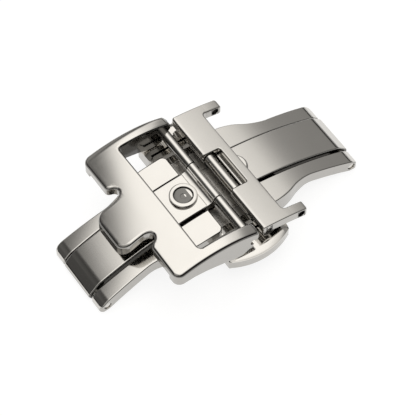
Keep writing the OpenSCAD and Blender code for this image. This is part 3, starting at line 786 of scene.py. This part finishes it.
def spring_shape():
    length = SPRING_END - WIRE_R - SPRING_START
    bm = bmesh.new()
    ring = bmesh.ops.create_circle(bm, cap_ends=False, segments=12, radius=WIRE_R,
                                   matrix=Matrix.Translation((MECH_X + COIL_R, SPRING_START, AXIS_Z)))
    edges = list({e for v in ring["verts"] for e in v.link_edges})
    steps = int(COIL_TURNS * TURN_STEPS)
    bmesh.ops.spin(bm, geom=ring["verts"] + edges, cent=(MECH_X, SPRING_START, AXIS_Z), axis=(0, 1, 0),
                   dvec=(0, length / steps, 0), angle=math.radians(360 * COIL_TURNS), steps=steps)
    bmesh.ops.holes_fill(bm, edges=[e for e in bm.edges if e.is_boundary])
    return bm


# Painted shade, from 0 for the main polish to 1 for the darkest tone, by a face's middle and the way it
# looks: edges turned from the light, hollows, bores and faces under other parts are painted darker

# Strength of the painted shade on tilted faces, and the tilt over which it grows to full
PAINTED_SHADE_TONE, TILT_RUN = 0.7, 0.22


def tilt_shade(way, start):
    """Painted shade that grows as a face turns away from level."""
    return PAINTED_SHADE_TONE * min(1, max(0, (start - way.z) / TILT_RUN))


def edge_shade(way):
    """Painted shade for a piece with crisp outlines."""
    return tilt_shade(way, 0.92)


def long_piece_shade(way):
    """Painted shade for a piece whose ends slope off in the main polish, with a painted dark line, standing
    for a dark reflection, where the top bends into the end slope.
    """
    if abs(way.y) < 0.25:
        if 0.5 < way.x < 0.64:
            return 0.9
        return 0.3 if way.z < 0.3 else 0.12 if way.x > 0.6 else 0
    return tilt_shade(way, 0.9)


# Painted shade: the slot walls and the channel floor are painted darker as hollows, and the edges by how they
# face
def base_painted_shade(place, way):
    in_channel = place.z < CHANNEL_Z + 0.1 and abs(place.x - MECH_X) < 3
    if abs(place.y) < SLOT_HALF + 0.02 or in_channel:
        return 0.6
    rounding = 0.3 < way.z < 0.88 and abs(way.y) > 0.25
    return 0.55 * long_piece_shade(way) + (0.25 if rounding else 0)


# Painted shade: the blade's sides and the faces under the lug plate are painted darkest, the rest by how they
# face, and darker towards the left end for a dark reflection
def wing_painted_shade(place, way):
    under_plate = LUG_ROD[0] + 0.5 < place.x < 3.4 and place.z < arch(BLADE_R, 3.3) - 0.06
    if abs(place.y) > BLADE_HALF - 0.02 or under_plate:
        return 1
    if abs(place.x) <= 3.3:
        return 0
    return long_piece_shade(way) + min(0.2, max(0, -16 - place.x) * 0.1)


# Painted shade: the window's inner side walls are painted darkest, the undersides not at all, and the edges
# by how they face
def cover_painted_shade(place, way):
    if abs(way.y) > 0.7 and abs(place.y) < COVER_IN + 0.1 and abs(place.x) < 8:
        return 1
    if way.z < -0.3:
        return 0
    return edge_shade(way) * (0.6 if way.z < 0.35 else 1.3)


def in_bore(place, at, r):
    return math.hypot(place.x - at[0], place.z - at[1]) < r


# Painted shade: the bores are painted darkest, the plate left of x = 5.8 a little darker, and the edges by
# how they face
def lug_painted_shade(place, way):
    if in_bore(place, (BAR_X, BAR_Z), 0.52) or abs(place.y) > 9.9 and in_bore(place, LUG_ROD, 0.45):
        return 1
    return max(0.1 if place.x < 5.8 else 0, edge_shade(way) * (0.5 if way.z < 0.35 else 1))


# Painted shade inside the rim's dish, on the shank and on the rim's outer wall; the rim's top keeps the plain
# polish
def stud_painted_shade(place, way):
    away = math.hypot(place.x - STUD_X, place.y)
    return 0.95 if away < 1.3 or away > 1.84 else 0


# Painted shade on the pads' steep sides
def pad_painted_shade(place, way):
    return 0.33 if way.z < 0.3 else 0


# The pieces, each on its body, in place of its solid and with its painted shade where one is given

piece("base_frame_dressed", base_shape(), "base", ["base_frame"], polished, painted_shade=base_painted_shade)
piece("left_pin_dressed", end_pin_shape(-1), "base", ["left_end_pin"], polished)
piece("right_pin_dressed", end_pin_shape(1), "base", ["right_end_pin"], polished)
piece("left_wing_dressed", left_wing_shape(), "left_arm", ["left_wing"], polished, painted_shade=wing_painted_shade)
piece("strap_stud_dressed", stud_shape(), "left_arm", ["strap_stud"], polished, painted_shade=stud_painted_shade)
piece("cover_frame_dressed", cover_shape(), "cover", ["cover_frame"], polished, painted_shade=cover_painted_shade)
piece("right_wing_dressed", right_wing_shape(), "right_arm", ["right_wing"], polished, painted_shade=wing_painted_shade)
piece("lug_plate_dressed", lug_shape(), "lug", ["lug_plate"], polished, painted_shade=lug_painted_shade)
piece("rear_button_dressed", button_shape(), "rear_push", ["rear_button"], polished, painted_shade=pad_painted_shade)
piece("front_button_dressed", mirrored(button_shape()), "front_push", ["front_button"], polished,
      painted_shade=pad_painted_shade)
rear = piece("rear_spring_dressed", spring_shape(), "rear_push", ["rear_spring"], wire)
front = piece("front_spring_dressed", mirrored(spring_shape()), "front_push", ["front_spring"], wire)
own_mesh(rear)
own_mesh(front)

# Solids that show as they are, in their own finish
for material, nodes in ((polished, ("cover_rod", "lug_rod")),
                        (satin, ("latch_cover", "latch_cover_screws", "left_catch", "right_catch",
                                 "front_latch", "rear_latch"))):
    for node in nodes:
        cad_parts[node].data.materials.clear()
        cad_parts[node].data.materials.append(material)

# Floor, a pale sheet under the clasp
FLOOR_SIZE, FLOOR_GREY, FLOOR_GLOW = 1.5, 0.3, 0.82
floor_shape = bmesh.new()
bmesh.ops.create_grid(floor_shape, x_segments=1, y_segments=1, size=FLOOR_SIZE)
floor_mesh = bpy.data.meshes.new("floor")
floor_shape.to_mesh(floor_mesh)
floor_shape.free()
floor = bpy.data.objects.new("floor", floor_mesh)
bpy.context.scene.collection.objects.link(floor)
paper = bpy.data.materials.new("white_sheet")
paper.use_nodes = True
make = Maker(paper.node_tree)
path = make.tree.nodes.new("ShaderNodeLightPath")
seen = Socket(make, path.outputs["Is Camera Ray"]) + Socket(make, path.outputs["Is Glossy Ray"])
seen = seen + Socket(make, path.outputs["Is Transmission Ray"])
matt = make.node("ShaderNodeBsdfDiffuse", None, {"Color": grey(FLOOR_GREY)})
glow = make.node("ShaderNodeEmission", None, {"Color": grey(1.0), "Strength": FLOOR_GLOW})
white = make.node("ShaderNodeAddShader", None, {0: matt, 1: glow})
both = make.node("ShaderNodeMixShader", None, {0: seen, 1: matt, 2: white})
make.node("ShaderNodeOutputMaterial", None, {"Surface": both})
floor_mesh.materials.append(paper)

# Studio: a broad soft light overhead and behind, darker on the camera's side and at both ends

LIGHT_COLOUR = (1, 0.985, 0.96)

# Bands of light, as a direction from -1 to 1 and a level, which are multiplied
ACROSS_X = [(-1, 0.5), (-0.6, 0.5), (-0.5, 0.7), (-0.43, 1), (0.3, 1), (0.4, 0.93), (0.46, 0.79),
            (0.53, 0.71), (0.595, 0.63), (0.627, 0.5), (0.655, 0.39), (0.684, 0.3), (0.709, 0.26),
            (0.732, 0.235), (0.79, 0.215), (0.9, 0.2)]
REAR_LEFT = [(-0.6, 0.3), (-0.46, 0.28), (-0.42, 0.15), (-0.385, 0.17), (-0.375, 0.24), (-0.36, 0.46),
             (-0.35, 0.72), (-0.34, 0.98), (-0.33, 1.18), (-0.32, 1.31), (-0.3, 1.4), (-0.25, 1.42),
             (-0.17, 1.45)]
ACROSS_Y = [(-1, 0.05), (-0.7, 0.06), (-0.55, 0.6), (-0.4, 0.97), (0, 1)]
LOW_DOWN = [(0, 0.06), (0.15, 0.1), (0.22, 0.5), (0.27, 1)]
world = bpy.data.worlds.new("studio")
world.use_nodes = True
bpy.context.scene.world = world
make = Maker(world.node_tree)
way = make.node("ShaderNodeTexCoord", output="Generated")
split = make.tree.nodes.new("ShaderNodeSeparateXYZ")
make.tree.links.new(way.link, split.inputs[0])
way_x, way_y, way_z = (Socket(make, split.outputs[i]) for i in range(3))


def band(value, stops, top=1.0):
    """A light level that changes along one direction and stays under a top level."""
    ramp = make.node("ShaderNodeValToRGB", {"stops": [((p + 1) / 2, grey(v / top)) for p, v in stops]},
                     {0: value * 0.5 + 0.5})
    return ramp * top


across = band(way_x, ACROSS_X) * band((way_x - way_y * 3) * 0.2, REAR_LEFT, 1.5)
around = across * band(way_y, ACROSS_Y) * band(way_z, LOW_DOWN)
level = make.node("ShaderNodeVectorMath", {"operation": "SCALE"}, {0: LIGHT_COLOUR, "Scale": around})
light = make.node("ShaderNodeBackground", None, {"Color": level, "Strength": 1.0})
make.node("ShaderNodeOutputWorld", None, {"Surface": light})

# Camera at the photograph's angle
CAMERA_AWAY, CAMERA_AIM_Z = 265.1, 1.365
camera_data = bpy.data.cameras.new("camera")
camera_data.sensor_width = 36
camera_data.lens = 177.0
camera_data.shift_x = -0.0008
camera_data.shift_y = -0.01125
camera_data.clip_start = 0.01
camera = bpy.data.objects.new("camera", camera_data)
bpy.context.scene.collection.objects.link(camera)
back = Vector((-0.3144, -0.4613, 0.8297)).normalized()
right_way = Vector((0.8263, -0.5632, 0)).normalized()
up_way = back.cross(right_way)
turn = Matrix((right_way, up_way, back)).transposed().to_4x4()
camera.matrix_world = Matrix.Translation(Vector((0, 0, CAMERA_AIM_Z * MM)) + back * CAMERA_AWAY * MM) @ turn
bpy.context.scene.camera = camera
bpy.context.scene.view_settings.view_transform = "Standard"
